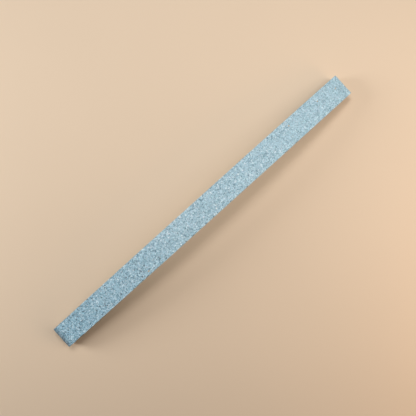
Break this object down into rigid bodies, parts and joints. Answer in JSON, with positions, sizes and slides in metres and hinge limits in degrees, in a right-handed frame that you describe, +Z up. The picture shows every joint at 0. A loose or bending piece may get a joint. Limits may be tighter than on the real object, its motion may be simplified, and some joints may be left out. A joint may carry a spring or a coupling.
{
  "type": "sanding stick",
  "caption": "Slim double-sided sanding stick: a springy plastic core between foam cushions, with coarse abrasive sheet glued to both faces; square-cut ends and a slight bow.",
  "frame": {"origin": "under the middle of the stick, on the surface that its two ends stand on", "axes": "+X along the stick, from the crushed end to the clean end; +Y across its width; +Z up, out of the upper grit"},
  "size_m": [0.1776, 0.011, 0.0129],
  "materials": {
    "core_plastic": "matte white polystyrene",
    "adhesive": "clear amber pressure-sensitive film",
    "foam": "fine-celled soft charcoal foam",
    "backing_paper": "tan latex-treated paper",
    "bond_resin": "dull slate resin",
    "abrasive_grit": "coarse blue-grey abrasive grain"
  },
  "bodies": {
    "root": {"core_strip": "core_plastic", "upper_core_adhesive": "adhesive", "upper_foam": "foam", "upper_sheet_adhesive": "adhesive", "upper_backing": "backing_paper", "upper_bond_coat": "bond_resin", "upper_grit_coat": "abrasive_grit", "lower_core_adhesive": "adhesive", "lower_foam": "foam", "lower_sheet_adhesive": "adhesive", "lower_backing": "backing_paper", "lower_bond_coat": "bond_resin", "lower_grit_coat": "abrasive_grit"}
  },
  "joints": []
}
